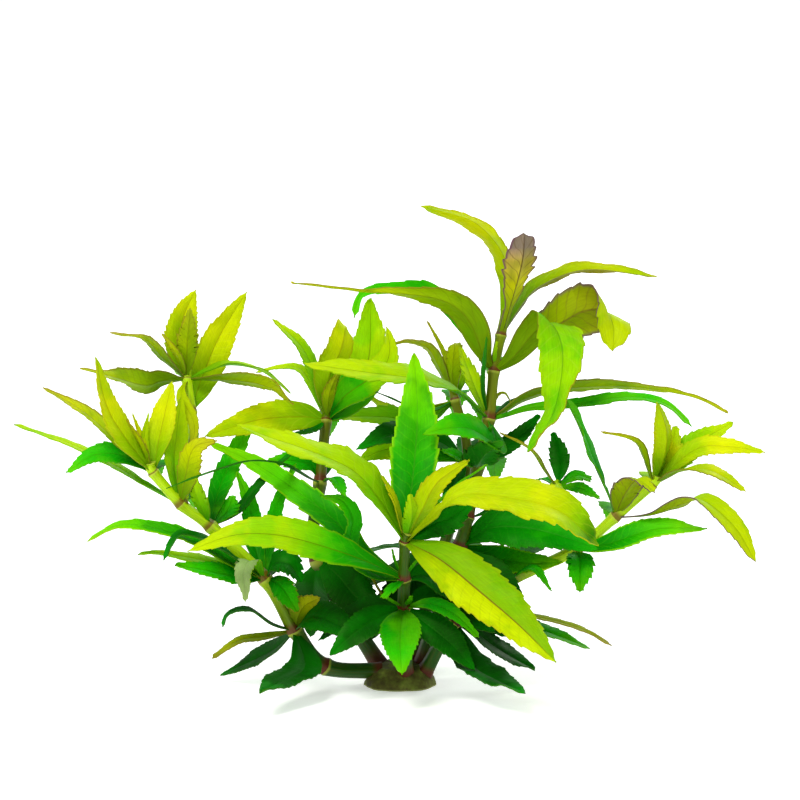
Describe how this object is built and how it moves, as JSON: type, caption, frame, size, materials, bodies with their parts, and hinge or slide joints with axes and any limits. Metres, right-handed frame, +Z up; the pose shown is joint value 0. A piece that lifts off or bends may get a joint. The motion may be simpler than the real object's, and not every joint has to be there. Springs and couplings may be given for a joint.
{
  "type": "aquarium stem plant",
  "caption": "Bushy aquarium stem plant cut off flat at its rooted crown, with branching stems and whorls of narrow toothed leaves.",
  "frame": {"origin": "middle of the flat cut under the crown", "axes": "+Z up along the plant, +X to the viewer's right, +Y away from the viewer"},
  "size_m": [0.1497, 0.0798, 0.0962],
  "materials": {
    "yellow_leaf": "thin satin leaf, yellow to lime, toothed edge, reddish rib",
    "lime_leaf": "thin satin leaf, lime to green towards its base",
    "bright_leaf": "thin satin leaf, bright green with faint veins",
    "deep_leaf": "older satin leaf, deep green",
    "young_leaf": "young leaf or leaf underside, olive with purple teeth",
    "stem": "juicy ribbed stem, olive green, maroon above each joint",
    "crown": "knobbly rooted crown, brownish green, cut flat below"
  },
  "bodies": {
    "root": {"crown": "crown", "leaf_back_low_left": "deep_leaf", "leaf_front_low_behind": "deep_leaf", "leaf_front_low_forward": "bright_leaf", "leaf_front_low_left": "deep_leaf", "leaf_front_mid_far_left": "bright_leaf", "leaf_front_mid_left": "lime_leaf", "leaf_front_mid_small_left": "bright_leaf", "leaf_front_top_down_right": "yellow_leaf", "leaf_front_top_left_arch": "lime_leaf", "leaf_front_top_right_arch": "yellow_leaf", "leaf_front_top_upright": "bright_leaf", "leaf_ground_back": "deep_leaf", "leaf_ground_front_left": "deep_leaf", "leaf_ground_front_right": "deep_leaf", "leaf_left_branch_left_long": "young_leaf", "leaf_left_branch_left_up": "yellow_leaf", "leaf_left_branch_right_long": "young_leaf", "leaf_left_branch_right_up": "lime_leaf", "leaf_left_low_arch": "bright_leaf", "leaf_left_top_far": "lime_leaf", "leaf_left_top_inner": "yellow_leaf", "leaf_left_top_up": "yellow_leaf", "leaf_left_upper_far": "lime_leaf", "leaf_left_upper_up": "lime_leaf", "leaf_middle_base_right": "deep_leaf", "leaf_middle_low_left": "deep_leaf", "leaf_middle_top_left": "lime_leaf", "leaf_middle_top_left_up": "lime_leaf", "leaf_middle_top_right_up": "bright_leaf", "leaf_right_base_far": "young_leaf", "leaf_right_base_near": "bright_leaf", "leaf_right_mid_right": "lime_leaf", "leaf_right_top_right": "yellow_leaf", "leaf_right_top_right_low": "lime_leaf", "leaf_right_top_right_up": "lime_leaf", "leaf_right_upper_left": "bright_leaf", "leaf_right_upper_long": "lime_leaf", "leaf_tall_base_left": "deep_leaf", "leaf_tall_base_right": "deep_leaf", "leaf_tall_fork_left": "lime_leaf", "leaf_tall_fork_right_lower": "bright_leaf", "leaf_tall_fork_right_upper": "bright_leaf", "leaf_tall_mid_left": "bright_leaf", "leaf_tall_mid_right": "deep_leaf", "leaf_tall_top_drooping": "young_leaf", "leaf_tall_top_left": "yellow_leaf", "leaf_tall_top_middle": "young_leaf", "leaf_tall_top_right": "lime_leaf", "leaf_tall_upper_hanging": "lime_leaf", "leaf_tall_upper_left": "young_leaf", "leaf_tall_upper_left_behind": "bright_leaf", "stem_back": "stem", "stem_front": "stem", "stem_left": "stem", "stem_left_branch": "stem", "stem_middle": "stem", "stem_right": "stem", "stem_right_branch": "stem", "stem_tall": "stem"}
  },
  "joints": []
}
